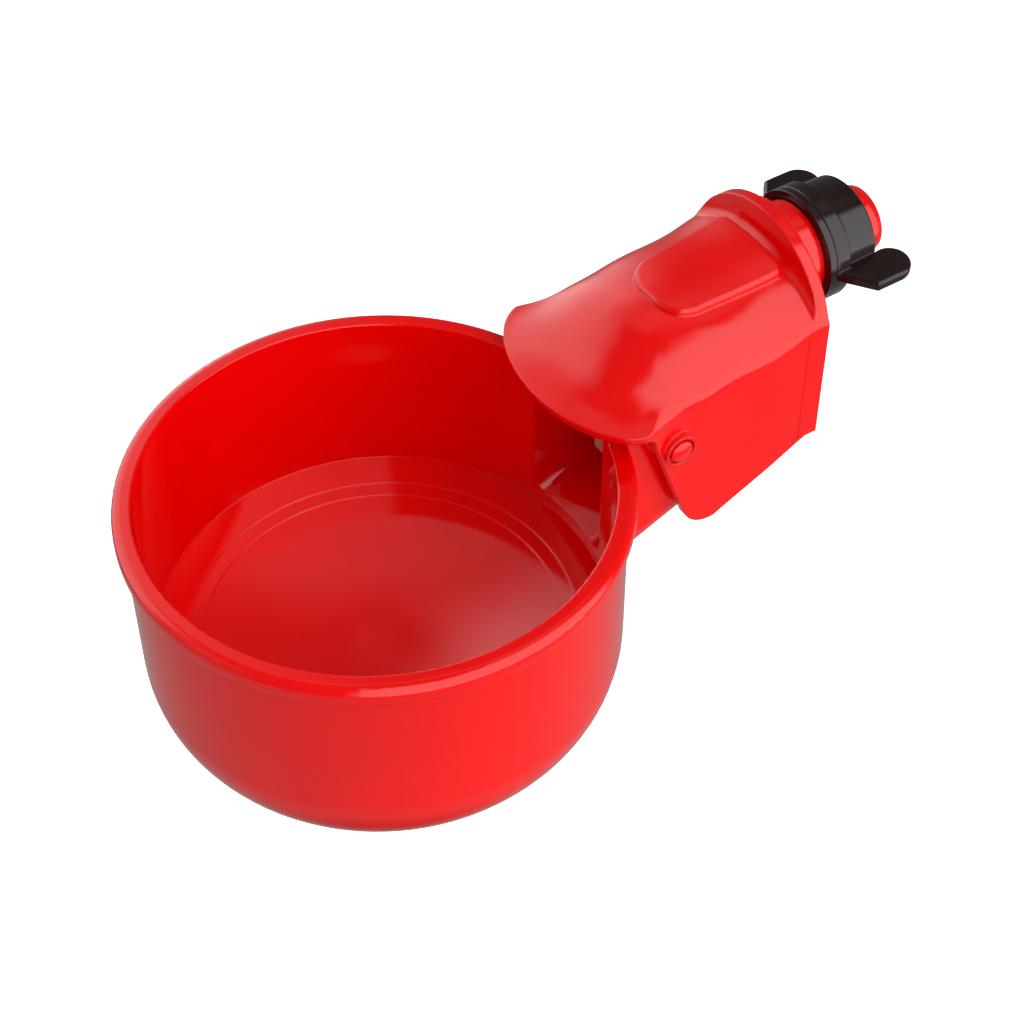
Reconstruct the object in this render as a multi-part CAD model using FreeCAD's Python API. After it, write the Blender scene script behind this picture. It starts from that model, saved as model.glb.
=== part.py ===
"""Poultry drinking cup with a float valve, for the wall of a bucket or tank.

Units are millimetres.  The origin is on the axis of the inlet shank, at the back face of the
housing's flange.  +Y runs out along the shank, into the tank; -Y is towards the bowl; +Z is up.
"""
import FreeCAD, Part
import math
import os

V = FreeCAD.Vector

# --- bowl -----------------------------------------------------------------------------------
BOWL_Y = -83.0            # bowl axis
RIM_Z = -12.3             # top of the rim
BOWL_IN_R = 41.4
BOWL_OUT_R = 43.6
LIP_R = 43.4              # outer edge of the flat lip
LIP_EDGE_R = 0.35         # rounding of the rim's inner edge
BAND_R = 45.0             # rolled band under the lip
BAND_Z = -4.0             # lower edge of the band, from the rim
BOWL_CORNER_R = 19.4      # outer corner between wall and base
CORNER_SWEEP = 53.0       # degrees of that corner above the foot
WALL_END_Z = -33.4        # where the straight wall ends, from the rim
FLOOR_Z = -40.2           # middle of the dished floor, from the rim
FLOOR_FLAT_R = 5.0        # the flat middle of the dish
DISH_R = 92.0             # radius of the dish's curve round its flat middle
DISH_SLOPE = 12.0         # degrees that the floor rises from there out to the wall
STEP_IN_R = 32.8          # shallow double ring in the floor
STEP_OUT_R = 35.4
STEP_RISE = 0.12
FLOOR_T = 2.4
FOOT_IN_R = 33.5          # recess under the floor
FOOT_RIBS = 6
FOOT_RIB_T = 1.8
HUB_R = 7.0
HUB_INSET = 1.2           # the hub and ribs stop short of the foot's lower edge
RIB_INSET = 2.0

# --- chute between the bowl and the valve ---------------------------------------------------
CHUTE_OUT = 14.5          # half width
CHUTE_IN = 10.8
CHUTE_OUT_CORNER_R = 7.2  # rounding of the chute's lower edges
CHUTE_IN_CORNER_R = 4.3
CHUTE_BACK_Y = -6.0
CHUTE_SLOPE = 0.40        # the floor climbs this much per unit towards the flange
CHUTE_LOW_Z = -33.9       # underside at the bowl wall, from the rim
CHUTE_FLOOR_T = 2.1
CHUTE_END_WALL = 6.0      # height of the wall across the back of the chute
CHUTE_END_T = 1.8

# --- hood, skirts and flange ----------------------------------------------------------------
SKIRT = 18.5              # half width over the skirts
SHELL_T = 1.8
FLANGE_T = 2.25
FLANGE_R = 18.6
FLANGE_INSET = 0.05       # the skirts run just outside the flange's sides
FLANGE_CENTRE_Z = -6.3
SKIRT_REAR_Z = -28.3
VISOR_UNDER = 4.4         # underside of the visor's edge, above the rim
VISOR_CENTRE_Y = -39.0
VISOR_REACH = 11.9
VISOR_HALF = 20.6
BELL_POWER = 1.45         # above 1, the bell's sides are steeper and its rim narrower
# y, half width, crease height and ridge height above the rim, and arch share
# (0 gives a bell-shaped section, 1 a half ellipse)
HOOD_STATIONS = [
    (-53.0, 20.6, 5.3, 5.4, 0.0),
    (-49.0, 20.6, 5.4, 6.0, 0.0),
    (-45.5, 20.6, 5.5, 7.2, 0.0),
    (-42.0, 20.5, 5.6, 9.1, 0.08),
    (-39.0, 19.9, 5.6, 11.0, 0.22),
    (-36.5, 19.3, 5.6, 12.4, 0.38),
    (-34.0, 18.8, 5.6, 13.7, 0.58),
    (-29.5, 18.5, 5.6, 15.3, 0.8),
    (-24.0, 18.5, 5.7, 16.2, 0.93),
    (-16.0, 18.5, 6.6, 16.9, 0.9),
    (-8.0, 18.5, 8.2, 17.6, 0.78),
    (0.0, 18.5, 9.8, 18.2, 0.7),
]
PAD_RISE = 1.0
PAD_SPREAD = 5.0          # the pad's top is flatter than the hood, as if it were this much wider
PAD_EDGE_R = 0.8
PAD_FRONT_Y = -26.8
PAD_BACK_Y = -3.4
PAD_HALF_FRONT = 8.1
PAD_HALF_BACK = 9.1
COVE_R = 2.0              # hollow corner between the hood and the flange
PAD_CORNER_R = 6.0
PAD_BACK_CORNER_R = 1.8
PAD_BASE_Z = -5.0
STOP_X0 = 11.4            # ribs under the hood that the rim meets when the bowl is level
STOP_X1 = 13.4
STOP_Y0 = -43.4
STOP_Y1 = -41.2
STOP_GAP = 0.05

# --- pivot of the bowl ----------------------------------------------------------------------
PIVOT_Y = -32.6
PIVOT_Z = -14.8
PIVOT_FACE_X = 18.8       # outside of the skirt at the pivot
PIN_R = 2.2
PIN_CLEARANCE = 0.05
BOSS_R = 3.25
BOSS_RISE = 1.2
RECESS_R = 2.65
RECESS_DEPTH = 0.9
SPACER_R = 3.6
SPACER_X = 16.4           # the spacer on the chute stops just short of the skirt's inside

# --- inlet shank ----------------------------------------------------------------------------
COLLAR_R = 9.3
COLLAR_LEN = 5.8
THREAD_CORE_R = 6.8
THREAD_CREST_R = 7.6
THREAD_PITCH = 3.0
THREAD_END_Y = 18.4
SHANK_LEN = 21.5
SHANK_END_R = 6.3
BORE_R = 4.0
BORE_END_Y = -2.0
GASKET_R = 12.0           # seat for the gasket in the flange's back face
GASKET_IN_R = 10.2
GASKET_SEAT_DEPTH = 0.9
GASKET_T = 1.8
WASHER_Y = 5.9
WASHER_T = 1.5
NUT_FLANGE_R = 11.0
NUT_STEP_Y = 10.7
NUT_BODY_R = 10.1
NUT_BACK_Y = 17.2
NUT_BORE_R = 7.75
COUNTERBORE_R = 9.45
COUNTERBORE_Y = 10.2
WING_TIP = 17.0
WING_T = 2.3
WING_CORNER_R = 4.0
WING_EDGE_R = 0.7
WING_BACK_Y = 21.6
WING_FRONT_Y = 12.2       # where the wing's sloping front meets its tip
WING_DIP_R = 10.4
WING_DIP_Y = 20.4
WING_TILT = -1.5          # degrees about the shank axis where the nut stops

# --- float valve ----------------------------------------------------------------------------
NOZZLE_BOSS_R = 4.2
NOZZLE_BOSS_Y = -6.0
NOZZLE_STEM_R = 2.55
NOZZLE_HEAD_R = 3.9
NOZZLE_TIP_Y = -9.5
NOZZLE_TIP_R = 1.5
ORIFICE_R = 0.9
ORING_Y = -4.0
ORING_GROOVE_R = 1.9
ORING_GROOVE_HALF = 0.4
ORING_CORD_R = 0.31
NOZZLE_TAPER = 2.0        # length of the nozzle's tapered tip
NOZZLE_HEAD_T = 2.2
NOZZLE_MOUTH_R = 2.1
SCREEN_DEPTH = 5.0        # how far the screen's cap reaches into the bore
SCREEN_RIM_R = 5.0
SCREEN_RIM_T = 0.8
SCREEN_WALL = 1.0
SCREEN_SLOTS = 5
SCREEN_SLOT_PITCH = 1.3
SCREEN_SLOT_W = 0.7
AXLE_Y = -13.6
AXLE_Z = -9.2
AXLE_R = 1.0
LUG_X = 8.0               # middle of each axle lug
LUG_T = 1.8
LUG_R = 2.8
ARM_X = 6.0               # middle of each side arm of the lever
ARM_T = 1.6
ARM_TOP_Z = 0.8
ARM_BACK = 2.2            # the upright of the arm, each side of the axle
ARM_FRONT = 1.6
ARM_DEPTH = 2.0
LEVER_HUB_R = 2.2
BRIDGE_T = 2.8
SADDLE_INSET = 4.0        # from the front of the float
SADDLE_LEN = 12.0
SADDLE_T = 1.8
SADDLE_GAP = 0.05
PAD_R = 1.8
PAD_T = 1.6
PAD_CUP_R = 2.3
PAD_CUP_T = 1.6           # behind the pad
PAD_PROUD = 0.5
PAD_GAP = 0.02            # between the pad and the nozzle with the float up
FLOAT_TRAVEL = 10.0       # degrees the lever turns between float down and float up
CLIP_R = 2.0
CLIP_T = 0.7
AXLE_REACH = 1.1          # beyond the outside of the lug
FLOAT_HALF = 8.4
FLOAT_FRONT_Y = -32.0
FLOAT_BACK_Y = -15.5
FLOAT_TOP_Z = -16.4
FLOAT_DRAFT = 4.2         # gap between the chute's floor and the float
FLOAT_CORNER_R = 2.0
FLOAT_WALL = 1.1
FLOAT_LID_T = 1.6
SCREW_Y = -22.0
SCREW_R = 1.0
SCREW_HOLE_R = 1.3
SCREW_HEAD_R = 2.2
SCREW_HEAD_T = 1.3
SCREW_LEN = 6.5
SCREW_BOSS_R = 2.6
SCREW_BOSS_Z = -22.4
SLOT_W = 0.6
SLOT_DEPTH = 0.6


def box(x0, x1, y0, y1, z0, z1):
    return Part.makeBox(x1 - x0, y1 - y0, z1 - z0, V(x0, y0, z0))


def cyl_x(radius, x0, x1, y, z):
    return Part.makeCylinder(radius, x1 - x0, V(x0, y, z), V(1, 0, 0))


def cyl_y(radius, y0, y1, x=0.0, z=0.0):
    return Part.makeCylinder(radius, y1 - y0, V(x, y0, z), V(0, 1, 0))


def closed_wire(items):
    """Wire from points and (middle, end) arcs, closed back to the first point."""
    edges = []
    here = items[0]
    for item in items[1:] + [items[0]]:
        if isinstance(item, tuple):
            edges.append(Part.Arc(here, item[0], item[1]).toShape())
            here = item[1]
        elif (item - here).Length > 1e-6:
            edges.append(Part.LineSegment(here, item).toShape())
            here = item
    return Part.Wire(edges)


def revolve_z(items, axis_y):
    """Turn an (r, z) outline about the vertical axis at axis_y."""
    face = Part.Face(closed_wire(items))
    return face.revolve(V(0, axis_y, 0), V(0, 0, 1), 360)


def revolve_y(points):
    """Turn an (r, y) outline about the shank axis."""
    face = Part.Face(closed_wire([V(r, y, 0) for r, y in points]))
    return face.revolve(V(0, 0, 0), V(0, 1, 0), 360)


def extrude_x(points, x0, x1):
    """Extrude a (y, z) outline from x0 to x1."""
    face = Part.Face(closed_wire([V(x0, y, z) for y, z in points]))
    return face.extrude(V(x1 - x0, 0, 0))


def mirrored(shape):
    return shape.mirror(V(0, 0, 0), V(1, 0, 0))


def both_sides(shape):
    return [shape, mirrored(shape)]


def fuse_all(first, others):
    return first.fuse(others).removeSplitter()


# --- bowl -----------------------------------------------------------------------------------
def chute_floor_z(y):
    """Height of the chute's underside at y."""
    return RIM_Z + CHUTE_LOW_Z + CHUTE_SLOPE * (y - (BOWL_Y + 40.9))


def bowl_profile_point(radius, depth):
    return V(radius, BOWL_Y, RIM_Z + depth)


def dish_z(radius):
    """Height of the dished floor above its flat middle."""
    slope = math.radians(DISH_SLOPE)
    knee_r = FLOOR_FLAT_R + DISH_R * math.sin(slope)
    curved = min(radius, knee_r) - FLOOR_FLAT_R
    return DISH_R - math.sqrt(DISH_R ** 2 - curved ** 2) + max(0, radius - knee_r) * math.tan(slope)


def dish_middle(lift):
    """Outline of the floor from the axis out to the end of its curve."""
    p = bowl_profile_point
    knee_r = FLOOR_FLAT_R + DISH_R * math.sin(math.radians(DISH_SLOPE))
    middle_r = (FLOOR_FLAT_R + knee_r) / 2
    return [
        p(0, FLOOR_Z + lift),
        p(FLOOR_FLAT_R, FLOOR_Z + lift),
        (p(middle_r, FLOOR_Z + dish_z(middle_r) + lift), p(knee_r, FLOOR_Z + dish_z(knee_r) + lift)),
    ]


def bowl_cavity():
    p = bowl_profile_point
    step = STEP_RISE
    ring_r = STEP_IN_R + step
    edge_r = STEP_OUT_R + step
    k = LIP_EDGE_R * (1 - math.sqrt(0.5))
    return revolve_z(dish_middle(0.0) + [
        p(STEP_IN_R, FLOOR_Z + dish_z(STEP_IN_R)),
        p(ring_r, FLOOR_Z + dish_z(ring_r) + step),
        p(STEP_OUT_R, FLOOR_Z + dish_z(STEP_OUT_R) + step),
        p(edge_r, FLOOR_Z + dish_z(edge_r) + 2 * step),
        p(BOWL_IN_R, FLOOR_Z + dish_z(BOWL_IN_R) + 2 * step),
        p(BOWL_IN_R, -LIP_EDGE_R),
        (p(BOWL_IN_R + k, -k), p(BOWL_IN_R + LIP_EDGE_R, 0)),
        p(BOWL_IN_R + LIP_EDGE_R, 1.0),
        p(0, 1.0),
    ], BOWL_Y)


def bowl_body():
    p = bowl_profile_point
    sweep = math.radians(CORNER_SWEEP)
    centre_r = BOWL_OUT_R - BOWL_CORNER_R

    def corner(angle):
        return p(centre_r + BOWL_CORNER_R * math.cos(angle),
                 WALL_END_Z - BOWL_CORNER_R * math.sin(angle))

    foot = corner(sweep)
    outer = revolve_z([
        p(0, 0),
        p(LIP_R, 0),
        (p(BAND_R - 0.45, -0.5), p(BAND_R, -1.6)),
        p(BAND_R, BAND_Z + 1.0),
        (p(BAND_R - 0.3, BAND_Z + 0.3), p(BAND_R - 0.9, BAND_Z)),
        (p(BOWL_OUT_R + 0.15, BAND_Z - 0.35), p(BOWL_OUT_R, BAND_Z - 1.0)),
        p(BOWL_OUT_R, WALL_END_Z),
        (corner(sweep / 2), foot),
        V(0, BOWL_Y, foot.z),
    ], BOWL_Y)
    recess = revolve_z([V(0, BOWL_Y, foot.z - 1)] + dish_middle(-FLOOR_T) + [
        p(FOOT_IN_R, FLOOR_Z + dish_z(FOOT_IN_R) - FLOOR_T),
        V(FOOT_IN_R, BOWL_Y, foot.z - 1),
    ], BOWL_Y)
    ceiling = RIM_Z + FLOOR_Z
    hub = Part.makeCylinder(HUB_R, ceiling - foot.z - HUB_INSET, V(0, BOWL_Y, foot.z + HUB_INSET))
    spokes = []
    for i in range(FOOT_RIBS // 2):
        rib = box(-FOOT_IN_R - 1, FOOT_IN_R + 1, BOWL_Y - FOOT_RIB_T / 2, BOWL_Y + FOOT_RIB_T / 2,
                  foot.z + RIB_INSET, ceiling)
        rib.rotate(V(0, BOWL_Y, 0), V(0, 0, 1), i * 360 / FOOT_RIBS)
        spokes.append(rib)
    recess = recess.cut([hub] + spokes)
    return outer.cut(recess)


def chute_block(half, corner_r, y0, y1, floor_t, top_z):
    """U-shaped bar along the chute, from y0 to y1, with its lower edges rounded."""
    k = corner_r * (1 - math.sqrt(0.5))

    def section(y):
        low = chute_floor_z(y) + floor_t
        return closed_wire([
            V(-half, y, top_z),
            V(-half, y, low + corner_r),
            (V(k - half, y, low + k), V(corner_r - half, y, low)),
            V(half - corner_r, y, low),
            (V(half - k, y, low + k), V(half, y, low + corner_r)),
            V(half, y, top_z),
        ])

    return Part.makeLoft([section(y0), section(y1)], True, True)


def make_bowl():
    start = BOWL_Y + 36.0
    outer = chute_block(CHUTE_OUT, CHUTE_OUT_CORNER_R, start, CHUTE_BACK_Y, 0.0, RIM_Z)
    end_y = CHUTE_BACK_Y - CHUTE_END_T
    channel = chute_block(CHUTE_IN, CHUTE_IN_CORNER_R, start - 2, end_y, CHUTE_FLOOR_T, RIM_Z + 2)
    wall_top = chute_floor_z(end_y) + CHUTE_FLOOR_T + CHUTE_END_WALL
    notch = box(-CHUTE_IN, CHUTE_IN, end_y - 1, CHUTE_BACK_Y + 1, wall_top, RIM_Z + 2)
    spacers = both_sides(cyl_x(SPACER_R, CHUTE_OUT - 0.5, SPACER_X, PIVOT_Y, PIVOT_Z))
    bowl = bowl_body().fuse([outer] + spacers)
    bowl = bowl.cut([bowl_cavity(), channel, notch])
    return bowl.cut(cyl_x(PIN_R, -SKIRT, SKIRT, PIVOT_Y, PIVOT_Z)).removeSplitter()


# --- housing --------------------------------------------------------------------------------
def arch_share(angle, share):
    """Height over the crease, 0 to 1, at an angle across the hood from -90 to 90 degrees."""
    ellipse = math.cos(angle)
    bell = math.cos(math.pi / 2 * abs(math.sin(angle)) ** BELL_POWER) ** 2
    return share * ellipse + (1 - share) * bell


def hood_section(station, inset, lift, floor_z, spread=0.0):
    y, half, crease, ridge, share = station
    half += spread - inset
    low = RIM_Z + crease - inset * share
    high = RIM_Z + ridge - inset + lift
    low = low - inset * (1 - share) + lift
    points = []
    for i in range(15):
        angle = math.radians(90 - i * 180 / 14)
        height = low + (high - low) * arch_share(angle, share)
        points.append(V(half * math.sin(angle), y, height))
    curve = Part.BSplineCurve()
    curve.interpolate(points)
    corner_r = V(half, y, floor_z)
    corner_l = V(-half, y, floor_z)
    return Part.Wire([
        curve.toShape(),
        Part.LineSegment(points[-1], corner_l).toShape(),
        Part.LineSegment(corner_l, corner_r).toShape(),
        Part.LineSegment(corner_r, points[0]).toShape(),
    ])


def hood_loft(inset=0.0, lift=0.0, floor_z=-45.0, spread=0.0):
    sections = [hood_section(s, inset, lift, floor_z, spread) for s in HOOD_STATIONS]
    return Part.makeLoft(sections, True, False)


def station_at(y):
    """Hood station between the last two in the table."""
    first, last = HOOD_STATIONS[-2:]
    share = (y - first[0]) / (last[0] - first[0])
    return tuple(a + (b - a) * share for a, b in zip(first, last))


def cove():
    """Hollow fillet between the hood and the flange's front face."""
    sections = []
    for part in (1.0, 0.6, 0.3, 0.1, 0.0):
        rise = COVE_R * (1 - math.sqrt(1 - (1 - part) ** 2))
        station = station_at(-FLANGE_T - COVE_R * part)
        sections.append(hood_section(station, -rise, 0.0, SKIRT_REAR_Z))
    ring = Part.makeLoft(sections, True, False)
    return ring.common(flange(FLANGE_T + COVE_R)).cut(hood_loft(inset=SHELL_T / 2))


def side_cutter():
    """Everything below and in front of the skirts' lower edge, seen from the side."""
    under = RIM_Z + VISOR_UNDER

    def q(y, z):
        return V(-30, y, z)

    wire = closed_wire([
        q(-60, under),
        q(-41.2, under),
        (q(-39.2, under - 0.9), q(-38.0, under - 3.3)),
        q(-29.9, -33.0),
        (q(-27.0, -36.8), q(-22.8, -37.8)),
        q(-FLANGE_T, SKIRT_REAR_Z),
        q(5, SKIRT_REAR_Z),
        q(5, -60),
        q(-60, -60),
    ])
    return Part.Face(wire).extrude(V(60, 0, 0))


def visor_cutter():
    """Everything in front of the visor's curved edge, seen from above."""
    edge = Part.Ellipse(V(0, VISOR_CENTRE_Y, 0), VISOR_HALF, VISOR_REACH)
    inside = Part.Face(Part.Wire(edge.toShape())).extrude(V(0, 0, 60))
    inside.translate(V(0, 0, -40))
    keep = [inside, box(-30, 30, VISOR_CENTRE_Y, 5, -45, 20)]
    return box(-30, 30, -60, 5, -44, 19).cut(keep)


def flange(thickness):
    half = SKIRT - FLANGE_INSET
    top = FLANGE_CENTRE_Z + FLANGE_R
    side_z = FLANGE_CENTRE_Z + math.sqrt(FLANGE_R ** 2 - half ** 2)
    wire = closed_wire([
        V(-half, 0, SKIRT_REAR_Z),
        V(-half, 0, side_z),
        (V(0, 0, top), V(half, 0, side_z)),
        V(half, 0, SKIRT_REAR_Z),
    ])
    return Part.Face(wire).extrude(V(0, -thickness, 0))


def pad_plan():
    """Outline of the raised pad on the hood, seen from above."""
    r = PAD_CORNER_R
    f = PAD_HALF_FRONT
    b = PAD_HALF_BACK
    y0 = PAD_FRONT_Y
    y1 = PAD_BACK_Y
    k = r * (1 - math.sqrt(0.5))
    s = PAD_BACK_CORNER_R
    j = s * (1 - math.sqrt(0.5))

    def w(x, y):
        return V(x, y, PAD_BASE_Z)

    wire = closed_wire([
        w(-f + r, y0),
        w(f - r, y0),
        (w(f - k, y0 + k), w(f, y0 + r)),
        w(b, y1 - s),
        (w(b - j, y1 - j), w(b - s, y1)),
        w(-b + s, y1),
        (w(-b + j, y1 - j), w(-b, y1 - s)),
        w(-f, y0 + r),
        (w(-f + k, y0 + k), w(-f + r, y0)),
    ])
    return Part.Face(wire).extrude(V(0, 0, 25))


def shank():
    core = revolve_y([
        (0, -1),
        (COLLAR_R, -1),
        (COLLAR_R, COLLAR_LEN),
        (THREAD_CORE_R, COLLAR_LEN + 0.5),
        (THREAD_CORE_R, SHANK_LEN - 1.4),
        (SHANK_END_R, SHANK_LEN),
        (0, SHANK_LEN),
    ])
    return core


def thread():
    """Coarse helical thread, with its crest flats 1 mm wide."""
    start = COLLAR_LEN - 1.0
    turns_len = THREAD_END_Y - start
    helix = Part.makeHelix(THREAD_PITCH, turns_len, THREAD_CORE_R)
    root = THREAD_CORE_R - 0.3
    wire = closed_wire([
        V(root, 0, -1.0),
        V(THREAD_CREST_R, 0, -0.4),
        V(THREAD_CREST_R, 0, 0.4),
        V(root, 0, 1.0),
    ])
    solid = Part.Wire(helix).makePipeShell([wire], True, True)
    solid.rotate(V(0, 0, 0), V(1, 0, 0), -90)
    solid.translate(V(0, start, 0))
    return solid


def make_housing():
    shell = hood_loft().cut(hood_loft(inset=SHELL_T))
    shell = shell.cut(box(-30, 30, -0.01, 5, -50, 30))
    pad = hood_loft(lift=PAD_RISE, spread=PAD_SPREAD).common(pad_plan())
    pad = pad.makeFillet(PAD_EDGE_R, [e for e in pad.Edges if e.BoundBox.ZMin > PAD_BASE_Z])
    pad = pad.cut(hood_loft(inset=SHELL_T / 2))
    boss_x = PIVOT_FACE_X + BOSS_RISE
    bosses = both_sides(cyl_x(BOSS_R, SPACER_X + 0.25, boss_x, PIVOT_Y, PIVOT_Z))
    lugs = []
    for x in (-LUG_X, LUG_X):
        lug = box(x - LUG_T / 2, x + LUG_T / 2, AXLE_Y - LUG_R, AXLE_Y + LUG_R, AXLE_Z, 12)
        lug = lug.fuse(cyl_x(LUG_R, x - LUG_T / 2, x + LUG_T / 2, AXLE_Y, AXLE_Z))
        lugs.append(lug.common(hood_loft(inset=SHELL_T / 2)))
    boss = cyl_y(NOZZLE_BOSS_R, NOZZLE_BOSS_Y, 0)
    boss = boss.fuse(box(-NOZZLE_BOSS_R, NOZZLE_BOSS_R, NOZZLE_BOSS_Y, 0, 0, 8))
    boss = boss.common(hood_loft(inset=SHELL_T / 2))
    stop = box(STOP_X0, STOP_X1, STOP_Y0, STOP_Y1, RIM_Z + STOP_GAP, 0)
    stops = both_sides(stop.common(hood_loft(inset=SHELL_T / 2)))
    shell = shell.cut([side_cutter(), visor_cutter()])
    housing = shell.fuse([flange(FLANGE_T), cove(), pad, boss, shank()] + stops + bosses + lugs)
    housing = housing.fuse(thread())
    cuts = [
        cyl_y(BORE_R, BORE_END_Y, SHANK_LEN + 1),
        cyl_y(NOZZLE_STEM_R, NOZZLE_BOSS_Y - 1, BORE_END_Y),
        cyl_x(PIN_R + PIN_CLEARANCE, -SKIRT - 5, SKIRT + 5, PIVOT_Y, PIVOT_Z),
        cyl_x(AXLE_R, -LUG_X - 1, LUG_X + 1, AXLE_Y, AXLE_Z),
        cyl_y(GASKET_R, -GASKET_SEAT_DEPTH, 1).cut(cyl_y(COLLAR_R, -2, 2)),
    ]
    cuts += both_sides(cyl_x(RECESS_R, boss_x - RECESS_DEPTH, boss_x + 1, PIVOT_Y, PIVOT_Z))
    return housing.cut(cuts)


def make_pivot_pin():
    """Right-hand pin: pressed into the chute wall, turning in the skirt's boss."""
    end = PIVOT_FACE_X + BOSS_RISE + 0.1
    dome = 0.55
    pin = cyl_x(PIN_R, CHUTE_IN, end, PIVOT_Y, PIVOT_Z)
    ball_r = (PIN_R ** 2 + dome ** 2) / (2 * dome)
    ball = Part.makeSphere(ball_r, V(end + dome - ball_r, PIVOT_Y, PIVOT_Z))
    cap = ball.common(cyl_x(PIN_R, end, end + 1, PIVOT_Y, PIVOT_Z))
    return pin.fuse(cap).removeSplitter()


# --- wall fixing ----------------------------------------------------------------------------
def make_gasket():
    ring = cyl_y(GASKET_R - 0.1, -GASKET_SEAT_DEPTH, GASKET_T - GASKET_SEAT_DEPTH)
    return ring.cut(cyl_y(GASKET_IN_R, -2, 3))


def make_washer():
    return cyl_y(NUT_FLANGE_R, WASHER_Y, WASHER_Y + WASHER_T).cut(cyl_y(COUNTERBORE_R, 0, 20))


def make_wing_nut():
    front = WASHER_Y + WASHER_T
    body = revolve_y([
        (0, front),
        (NUT_FLANGE_R - 0.2, front),
        (NUT_FLANGE_R, front + 0.2),
        (NUT_FLANGE_R, NUT_STEP_Y - 0.3),
        (NUT_FLANGE_R - 0.3, NUT_STEP_Y),
        (NUT_BODY_R, NUT_STEP_Y),
        (NUT_BODY_R - 0.2, NUT_BACK_Y - 0.4),
        (NUT_BODY_R - 0.6, NUT_BACK_Y),
        (0, NUT_BACK_Y),
    ])
    corner = WING_CORNER_R
    k = corner * (1 - math.sqrt(0.5))
    back = WING_BACK_Y

    def w(x, y):
        return V(x, y, -WING_T / 2)

    wire = closed_wire([
        w(NUT_BORE_R + 0.5, front),
        w(NUT_FLANGE_R, front + 0.2),
        w(WING_TIP, WING_FRONT_Y),
        w(WING_TIP, back - corner),
        (w(WING_TIP - k, back - k), w(WING_TIP - corner, back)),
        (w(WING_DIP_R, WING_DIP_Y), w(NUT_BODY_R - 0.4, NUT_BACK_Y - 0.5)),
        w(NUT_BORE_R + 0.5, NUT_BACK_Y - 0.5),
    ])
    wing = Part.Face(wire).extrude(V(0, 0, WING_T))
    wing = wing.makeFillet(WING_EDGE_R, [e for e in wing.Edges if e.BoundBox.XMax > NUT_FLANGE_R + 1])
    other = wing.copy()
    other.rotate(V(0, 0, 0), V(0, 1, 0), 180)
    nut = body.fuse([wing, other])
    nut = nut.cut([cyl_y(NUT_BORE_R, 0, 30), cyl_y(COUNTERBORE_R, 0, COUNTERBORE_Y)])
    nut = nut.removeSplitter()
    nut.rotate(V(0, 0, 0), V(0, 1, 0), -WING_TILT)
    return nut


# --- float valve ----------------------------------------------------------------------------
def make_nozzle():
    stem_r = NOZZLE_STEM_R - 0.05
    nozzle = revolve_y([
        (ORIFICE_R, NOZZLE_TIP_Y),
        (NOZZLE_TIP_R, NOZZLE_TIP_Y),
        (stem_r, NOZZLE_TIP_Y + NOZZLE_TAPER),
        (stem_r, ORING_Y - ORING_GROOVE_HALF),
        (ORING_GROOVE_R, ORING_Y - ORING_GROOVE_HALF),
        (ORING_GROOVE_R, ORING_Y + ORING_GROOVE_HALF),
        (stem_r, ORING_Y + ORING_GROOVE_HALF),
        (stem_r, BORE_END_Y),
        (NOZZLE_HEAD_R, BORE_END_Y),
        (NOZZLE_HEAD_R, BORE_END_Y + NOZZLE_HEAD_T),
        (NOZZLE_MOUTH_R, BORE_END_Y + NOZZLE_HEAD_T),
        (ORIFICE_R, BORE_END_Y + NOZZLE_HEAD_T / 3),
    ])
    return nozzle


def make_o_ring():
    ring_r = ORING_GROOVE_R + ORING_CORD_R + 0.01
    return Part.makeTorus(ring_r, ORING_CORD_R, V(0, ORING_Y, 0), V(0, 1, 0))


def make_screen():
    """Cap with a slotted end, pushed into the tank end of the bore."""
    outer_r = BORE_R - 0.05
    inner_r = outer_r - SCREEN_WALL
    cap_y = SHANK_LEN + SCREEN_RIM_T
    cup = cyl_y(outer_r, SHANK_LEN - SCREEN_DEPTH, cap_y)
    cup = cup.fuse(cyl_y(SCREEN_RIM_R, SHANK_LEN + 0.05, cap_y))
    cup = cup.cut(cyl_y(inner_r, SHANK_LEN - SCREEN_DEPTH - 1, cap_y - SCREEN_WALL))
    slots = []
    for i in range(SCREEN_SLOTS):
        x = (i - (SCREEN_SLOTS - 1) / 2) * SCREEN_SLOT_PITCH
        half = math.sqrt(inner_r ** 2 - x ** 2) - 0.2
        w = SCREEN_SLOT_W / 2
        slots.append(box(x - w, x + w, SHANK_LEN - 1, SHANK_LEN + 2, -half, half))
    return cup.cut(slots)


def opened(shape):
    """Turn a piece modelled against the nozzle back to where it is with the float down."""
    shape.rotate(V(0, AXLE_Y, AXLE_Z), V(1, 0, 0), FLOAT_TRAVEL)
    return shape


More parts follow.
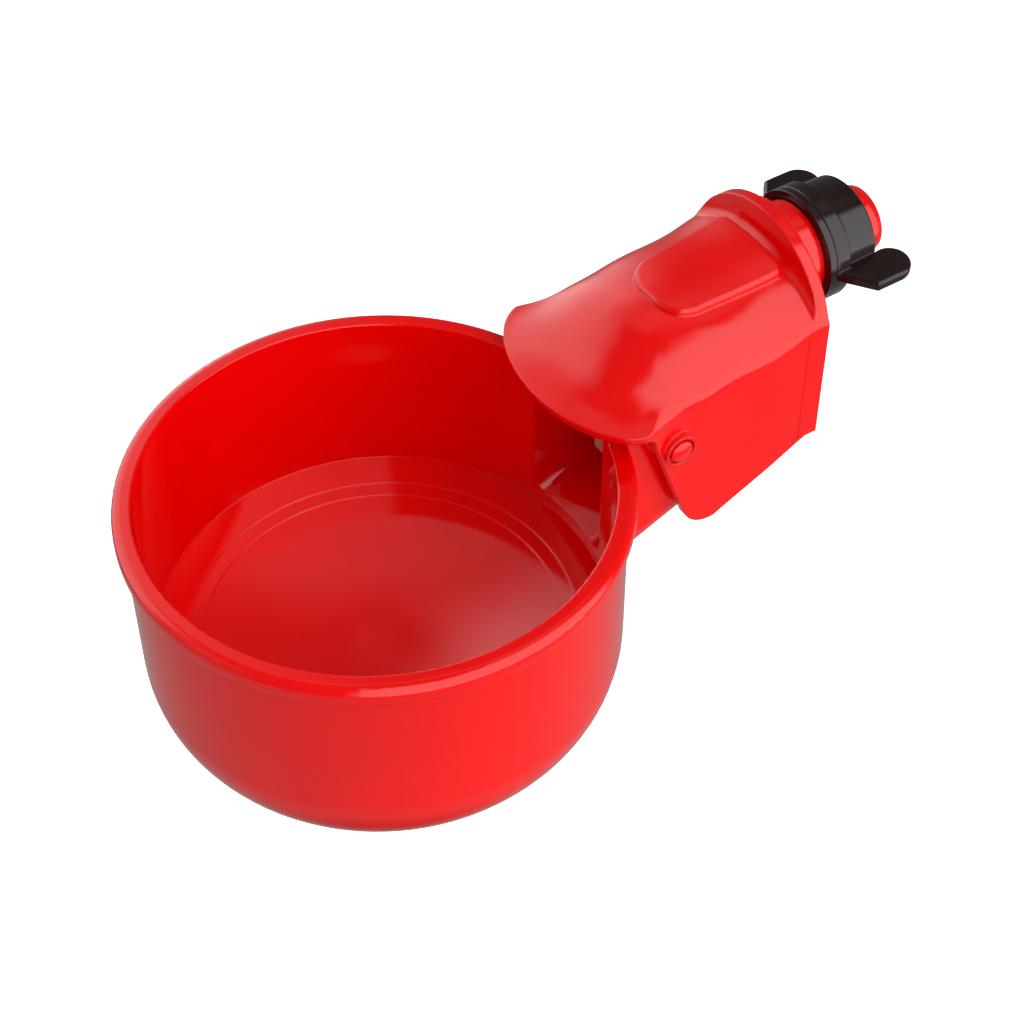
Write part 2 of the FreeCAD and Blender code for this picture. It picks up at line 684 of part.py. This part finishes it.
def make_lever():
    """Rocker: pad cup above the axle, two arms down and forward to the float's saddle."""
    pad_y = NOZZLE_TIP_Y - PAD_GAP
    cup_front = pad_y - PAD_PROUD
    saddle_z = FLOAT_TOP_Z + SADDLE_GAP
    saddle_y0 = FLOAT_FRONT_Y + SADDLE_INSET
    saddle_y1 = saddle_y0 + SADDLE_LEN
    arm_back = AXLE_Y - ARM_BACK
    arm_front = AXLE_Y + ARM_FRONT
    arm = extrude_x([
        (arm_back, ARM_TOP_Z),
        (arm_back, AXLE_Z + ARM_DEPTH),
        (saddle_y1 - ARM_DEPTH, saddle_z + ARM_DEPTH),
        (saddle_y0, saddle_z + ARM_DEPTH),
        (saddle_y0, saddle_z),
        (saddle_y1, saddle_z),
        (AXLE_Y, AXLE_Z - ARM_DEPTH),
        (arm_front, AXLE_Z),
        (arm_front, ARM_TOP_Z),
    ], ARM_X - ARM_T / 2, ARM_X + ARM_T / 2)
    bridge = box(-ARM_X, ARM_X, arm_back, arm_front, ARM_TOP_Z - BRIDGE_T, ARM_TOP_Z)
    saddle = box(-ARM_X, ARM_X, saddle_y0, saddle_y1, saddle_z, saddle_z + SADDLE_T)
    hub = cyl_x(LEVER_HUB_R, -ARM_X - ARM_T / 2, ARM_X + ARM_T / 2, AXLE_Y, AXLE_Z)
    cup = opened(cyl_y(PAD_CUP_R, pad_y - PAD_T - PAD_CUP_T, cup_front))
    lever = fuse_all(arm, [mirrored(arm), bridge, saddle, hub, cup])
    return lever.cut([
        opened(cyl_y(PAD_CUP_R + 4, cup_front, pad_y + 5)),
        opened(cyl_y(PAD_R, pad_y - PAD_T, pad_y + 5)),
        cyl_x(AXLE_R + 0.05, -SKIRT, SKIRT, AXLE_Y, AXLE_Z),
        Part.makeCylinder(SCREW_HOLE_R, 10, V(0, SCREW_Y, saddle_z - 5)),
    ])


def make_pad():
    pad_y = NOZZLE_TIP_Y - PAD_GAP
    return opened(cyl_y(PAD_R - 0.02, pad_y - PAD_T, pad_y))


def make_axle():
    reach = LUG_X + LUG_T / 2 + AXLE_REACH
    return cyl_x(AXLE_R, -reach, reach, AXLE_Y, AXLE_Z)


def make_axle_clip():
    inner = LUG_X + LUG_T / 2 + 0.05
    clip = cyl_x(CLIP_R, inner, inner + CLIP_T, AXLE_Y, AXLE_Z)
    return clip.cut(cyl_x(AXLE_R, 0, SKIRT, AXLE_Y, AXLE_Z))


def float_floor_z(y):
    """Underside of the float, parallel to the chute's floor."""
    return chute_floor_z(y) + CHUTE_FLOOR_T + FLOAT_DRAFT


def float_block(grow, top):
    y0 = FLOAT_FRONT_Y - grow
    y1 = FLOAT_BACK_Y + grow
    block = extrude_x([
        (y0, top),
        (y0, float_floor_z(y0) - grow),
        (y1, float_floor_z(y1) - grow),
        (y1, top),
    ], -FLOAT_HALF - grow, FLOAT_HALF + grow)
    if grow < 0:
        return block
    edges = [e for e in block.Edges
             if abs(e.Vertexes[0].X - e.Vertexes[-1].X) < 1e-6
             and abs(e.Vertexes[0].Y - e.Vertexes[-1].Y) < 1e-6]
    return block.makeFillet(FLOAT_CORNER_R, edges)


def make_float_shell():
    top = FLOAT_TOP_Z - FLOAT_LID_T
    return float_block(0.0, top).cut(float_block(-FLOAT_WALL, top + 5))


def make_float_lid():
    block = float_block(0.0, FLOAT_TOP_Z)
    lid = block.cut(box(-SKIRT, SKIRT, -60, 0, -60, FLOAT_TOP_Z - FLOAT_LID_T))
    boss_len = FLOAT_TOP_Z - 1.0 - SCREW_BOSS_Z
    boss = Part.makeCylinder(SCREW_BOSS_R, boss_len, V(0, SCREW_Y, SCREW_BOSS_Z))
    hole = Part.makeCylinder(SCREW_R, boss_len + 2, V(0, SCREW_Y, SCREW_BOSS_Z + 1.0))
    return lid.fuse(boss).removeSplitter().cut(hole)


def make_float_screw():
    seat = FLOAT_TOP_Z + 2 * SADDLE_GAP + SADDLE_T
    head = Part.makeCylinder(SCREW_HEAD_R, SCREW_HEAD_T, V(0, SCREW_Y, seat))
    stem = Part.makeCylinder(SCREW_R, SCREW_LEN, V(0, SCREW_Y, seat + 0.1 - SCREW_LEN))
    slot_z = seat + SCREW_HEAD_T - SLOT_DEPTH
    slot = box(-SCREW_HEAD_R - 1, SCREW_HEAD_R + 1, SCREW_Y - SLOT_W / 2, SCREW_Y + SLOT_W / 2,
               slot_z, slot_z + 3)
    return head.fuse(stem).removeSplitter().cut(slot)


PARTS = {
    "housing": make_housing,
    "bowl": make_bowl,
    "pivot_pin_right": make_pivot_pin,
    "pivot_pin_left": lambda: mirrored(make_pivot_pin()),
    "wall_gasket": make_gasket,
    "nut_washer": make_washer,
    "wing_nut": make_wing_nut,
    "valve_nozzle": make_nozzle,
    "nozzle_o_ring": make_o_ring,
    "inlet_screen": make_screen,
    "float_lever": make_lever,
    "valve_pad": make_pad,
    "lever_axle": make_axle,
    "axle_clip_right": make_axle_clip,
    "axle_clip_left": lambda: mirrored(make_axle_clip()),
    "float_shell": make_float_shell,
    "float_lid": make_float_lid,
    "float_screw": make_float_screw,
}

os.makedirs("parts", exist_ok=True)
for name, make in PARTS.items():
    shape = make()
    solids = len(shape.Solids)
    print(f"{name:18s} solids {solids} valid {shape.isValid()} volume {shape.Volume / 1000:.2f} cm3")
    shape.exportStep(f"parts/{name}.step")
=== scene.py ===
"""Poultry drinking cup: materials, lights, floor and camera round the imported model."""
import bpy
import math
from mathutils import Matrix, Vector


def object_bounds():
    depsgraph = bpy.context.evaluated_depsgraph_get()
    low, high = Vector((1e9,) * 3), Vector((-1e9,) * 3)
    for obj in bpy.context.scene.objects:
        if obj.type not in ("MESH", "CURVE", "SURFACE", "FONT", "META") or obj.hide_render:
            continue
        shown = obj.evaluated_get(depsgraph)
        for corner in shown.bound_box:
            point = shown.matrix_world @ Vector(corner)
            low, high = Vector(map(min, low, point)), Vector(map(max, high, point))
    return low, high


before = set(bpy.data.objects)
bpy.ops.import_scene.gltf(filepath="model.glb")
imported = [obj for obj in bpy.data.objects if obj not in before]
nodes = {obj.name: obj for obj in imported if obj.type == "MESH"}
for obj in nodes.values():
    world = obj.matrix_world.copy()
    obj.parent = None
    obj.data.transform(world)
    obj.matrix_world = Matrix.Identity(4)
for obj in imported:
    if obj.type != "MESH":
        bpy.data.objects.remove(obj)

MM = 0.001
cad_low, cad_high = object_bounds()
scene = bpy.context.scene

# --- camera ---------------------------------------------------------------------------------
CAMERA_AT = Vector((232.95, -206.32, 259.00)) * MM
CAMERA_AZ = math.radians(57.01)
CAMERA_EL = math.radians(46.61)
CAMERA_ROLL = math.radians(-0.12)
CAMERA_LENS = 77.7
CAMERA_SENSOR = 36.0
CAMERA_CLIP = (0.01, 20.0)


def make_camera():
    data = bpy.data.cameras.new("camera")
    data.sensor_width = CAMERA_SENSOR
    data.lens = CAMERA_LENS
    data.clip_start, data.clip_end = CAMERA_CLIP
    camera = bpy.data.objects.new("camera", data)
    scene.collection.objects.link(camera)
    az, el, roll = CAMERA_AZ, CAMERA_EL, CAMERA_ROLL
    level = Vector((math.cos(az), math.sin(az), 0))
    back = Vector((math.sin(az) * math.cos(el), -math.cos(az) * math.cos(el), math.sin(el)))
    upright = back.cross(level)
    right = level * math.cos(roll) + upright * math.sin(roll)
    up = upright * math.cos(roll) - level * math.sin(roll)
    matrix = Matrix((right, up, back)).transposed().to_4x4()
    matrix.translation = CAMERA_AT
    camera.matrix_world = matrix
    scene.camera = camera


# --- node trees -----------------------------------------------------------------------------
class Tree:
    """Small helpers for building a node tree."""

    def __init__(self, owner):
        owner.use_nodes = True
        self.tree = owner.node_tree

    def add(self, kind, **values):
        node = self.tree.nodes.new(kind)
        for key, value in values.items():
            setattr(node, key, value)
        return node

    def link(self, source, target):
        self.tree.links.new(source, target)

    def math(self, operation, first, second=None, third=None):
        node = self.add("ShaderNodeMath", operation=operation)
        for socket, value in zip(node.inputs, (first, second, third)):
            if value is None:
                continue
            if isinstance(value, (int, float)):
                socket.default_value = value
            else:
                self.link(value, socket)
        return node.outputs["Value"]

    def ramp(self, value, low, high, to_low, to_high, smooth=False):
        node = self.add("ShaderNodeMapRange")
        if smooth:
            node.interpolation_type = "SMOOTHSTEP"
        node.inputs["From Min"].default_value = low
        node.inputs["From Max"].default_value = high
        node.inputs["To Min"].default_value = to_low
        node.inputs["To Max"].default_value = to_high
        self.link(value, node.inputs["Value"])
        return node.outputs["Result"]

    def mix(self, share, first, second):
        """Blend of two plain colours."""
        node = self.add("ShaderNodeMix", data_type="RGBA")
        for socket, colour in ((node.inputs[6], first), (node.inputs[7], second)):
            socket.default_value = (*colour, 1.0)
        self.link(share, node.inputs[0])
        return node.outputs[2]


class Shader(Tree):
    """A Principled material."""

    def __init__(self, name):
        self.material = bpy.data.materials.new(name)
        super().__init__(self.material)
        self.bsdf = self.tree.nodes["Principled BSDF"]
        self.coords = self.add("ShaderNodeTexCoord").outputs["Object"]

    def noise(self, scale, detail, roughness, distortion=0.0):
        node = self.add("ShaderNodeTexNoise")
        node.inputs["Scale"].default_value = scale
        node.inputs["Detail"].default_value = detail
        node.inputs["Roughness"].default_value = roughness
        node.inputs["Distortion"].default_value = distortion
        self.link(self.coords, node.inputs["Vector"])
        return node.outputs["Fac"]

    def bump(self, height, strength, distance, normal):
        node = self.add("ShaderNodeBump")
        node.inputs["Strength"].default_value = strength
        node.inputs["Distance"].default_value = distance
        self.link(height, node.inputs["Height"])
        self.link(normal, node.inputs["Normal"])
        return node.outputs["Normal"]


# --- materials ------------------------------------------------------------------------------
# Noise scales are counts per metre: flow marks, patches of gloss and the skin's grain.
FLOW_SCALE = 55.0
GLOSS_SCALE = 160.0
SKIN_SCALE = 900.0
SKIN_DEPTH = 0.02 * MM
GLOSS_SPREAD = (0.85, 1.2)
BEVEL_SAMPLES = 6


def moulded(name, colour, darker, roughness, soft_edge, bump=0.05, metallic=0.0, specular=0.5):
    """Moulded or metal piece: faint marks in the colour, uneven gloss, a fine skin texture."""
    s = Shader(name)
    flow = s.noise(FLOW_SCALE, 3.0, 0.5, 0.6)
    tint = s.mix(s.ramp(flow, 0.35, 0.7, 0.0, 1.0), colour, darker)
    s.link(tint, s.bsdf.inputs["Base Color"])
    gloss = s.noise(GLOSS_SCALE, 5.0, 0.6)
    smooth, dull = (roughness * share for share in GLOSS_SPREAD)
    s.link(s.ramp(gloss, 0.3, 0.7, smooth, dull), s.bsdf.inputs["Roughness"])
    bevel = s.add("ShaderNodeBevel", samples=BEVEL_SAMPLES)
    bevel.inputs["Radius"].default_value = soft_edge
    skin = s.noise(SKIN_SCALE, 2.0, 0.5)
    s.link(s.bump(skin, bump, SKIN_DEPTH, bevel.outputs["Normal"]), s.bsdf.inputs["Normal"])
    s.bsdf.inputs["Metallic"].default_value = metallic
    s.bsdf.inputs["Specular IOR Level"].default_value = specular
    return s.material


def paint_nodes():
    red = moulded("housing_red_gloss", (0.82, 0.0006, 0.0008), (0.78, 0.0004, 0.0005), 0.12, 0.0006)
    bowl = moulded("bowl_red_gloss", (0.85, 0.0006, 0.0008), (0.81, 0.0004, 0.0005), 0.06, 0.0004,
                   bump=0.02)
    black = moulded("nut_black_gloss", (0.016, 0.005, 0.005), (0.010, 0.003, 0.003), 0.12, 0.0004)
    seal = moulded("ring_red_silicone", (0.80, 0.003, 0.004), (0.72, 0.002, 0.003), 0.4, 0.0002,
                   specular=0.35)
    rubber = moulded("rubber", (0.02, 0.02, 0.02), (0.012, 0.012, 0.012), 0.6, 0.0002)
    white = moulded("valve_white", (0.78, 0.78, 0.75), (0.7, 0.7, 0.66), 0.4, 0.0003)
    steel = moulded("steel", (0.6, 0.6, 0.61), (0.5, 0.5, 0.52), 0.25, 0.0001, metallic=1.0)
    brass = moulded("brass", (0.7, 0.5, 0.2), (0.6, 0.42, 0.16), 0.25, 0.0001, metallic=1.0)
    looks = {
        "housing": red, "bowl": bowl, "pivot_pin_left": bowl, "pivot_pin_right": bowl,
        "wall_gasket": seal, "nut_washer": black, "wing_nut": black,
        "valve_nozzle": brass, "nozzle_o_ring": rubber, "inlet_screen": white,
        "float_lever": white, "valve_pad": rubber, "lever_axle": steel,
        "axle_clip_left": steel, "axle_clip_right": steel,
        "float_shell": white, "float_lid": white, "float_screw": steel,
    }
    for name, material in looks.items():
        for slot in nodes[name].material_slots:
            slot.material = material


# --- studio ---------------------------------------------------------------------------------
# Soft panels in the sky round the part: middle azimuth, half width, lowest and highest
# elevation, softness of the edges (all degrees) and strength.  Azimuth 0 is -Y, 90 is +X.
PANELS = [
    (103.0, 52.0, -24.0, 75.0, 6.0, 2.0),
    (287.0, 38.0, -14.0, 50.0, 10.0, 1.7),
    (342.0, 22.0, -14.0, 45.0, 14.0, 0.3),
    (230.0, 60.0, 56.0, 78.0, 7.0, 0.35),
]
# Brightness of the sky above, the ground below and the spot straight down, and the
# elevations between which one passes into the next.
SKY = 0.16
GROUND = 0.38
NADIR = 0.12
GROUND_TO_SKY = (-65.0, -5.0)
NADIR_TO_GROUND = (-88.0, -60.0)


def make_studio():
    world = bpy.data.worlds.new("studio")
    t = Tree(world)
    background = t.tree.nodes["Background"]
    split = t.add("ShaderNodeSeparateXYZ")
    t.link(t.add("ShaderNodeTexCoord").outputs["Generated"], split.inputs["Vector"])
    x, y, z = split.outputs
    degrees = 180 / math.pi
    azimuth = t.math("MULTIPLY", t.math("ARCTAN2", x, t.math("MULTIPLY", y, -1.0)), degrees)
    elevation = t.math("MULTIPLY", t.math("ARCSINE", z), degrees)
    total = t.ramp(elevation, *GROUND_TO_SKY, GROUND, SKY, smooth=True)
    nadir = t.ramp(elevation, *NADIR_TO_GROUND, NADIR / GROUND, 1.0, smooth=True)
    total = t.math("MULTIPLY", total, nadir)
    for middle, half, low, high, soft, strength in PANELS:
        turn = t.math("WRAP", t.math("SUBTRACT", azimuth, middle), 180.0, -180.0)
        away = t.math("ABSOLUTE", turn)
        across = t.ramp(away, half - soft, half + soft, 1.0, 0.0, smooth=True)
        above = t.ramp(elevation, low - soft, low + soft, 0.0, 1.0, smooth=True)
        below = t.ramp(elevation, high - soft, high + soft, 1.0, 0.0, smooth=True)
        share = t.math("MULTIPLY", across, t.math("MULTIPLY", above, below))
        total = t.math("MULTIPLY_ADD", share, strength, total)
    t.link(total, background.inputs["Strength"])
    background.inputs["Color"].default_value = (1.0, 1.0, 1.0, 1.0)
    scene.world = world
    scene.view_settings.view_transform = "Standard"


# --- floor ----------------------------------------------------------------------------------
# The cup hangs on its tank, so the floor is low enough for it to tip.
FLOOR_DROP = 0.04
FLOOR_HALF = 6.0
FLOOR_WHITE = 0.8
FLOOR_GLOW = 0.94


def make_floor():
    mesh = bpy.data.meshes.new("floor")
    z = cad_low.z - FLOOR_DROP
    corners = [(-1, -1), (1, -1), (1, 1), (-1, 1)]
    mesh.from_pydata([(x * FLOOR_HALF, y * FLOOR_HALF, z) for x, y in corners],
                     [], [(0, 1, 2, 3)])
    floor = bpy.data.objects.new("floor", mesh)
    scene.collection.objects.link(floor)
    s = Shader("floor_white")
    s.bsdf.inputs["Base Color"].default_value = (FLOOR_WHITE, FLOOR_WHITE, FLOOR_WHITE, 1.0)
    s.bsdf.inputs["Roughness"].default_value = 0.9
    s.bsdf.inputs["Specular IOR Level"].default_value = 0.0
    s.bsdf.inputs["Emission Color"].default_value = (1.0, 1.0, 1.0, 1.0)
    s.bsdf.inputs["Emission Strength"].default_value = FLOOR_GLOW
    mesh.materials.append(s.material)
    floor.visible_glossy = False
    floor.visible_diffuse = False


make_camera()
paint_nodes()
make_studio()
make_floor()
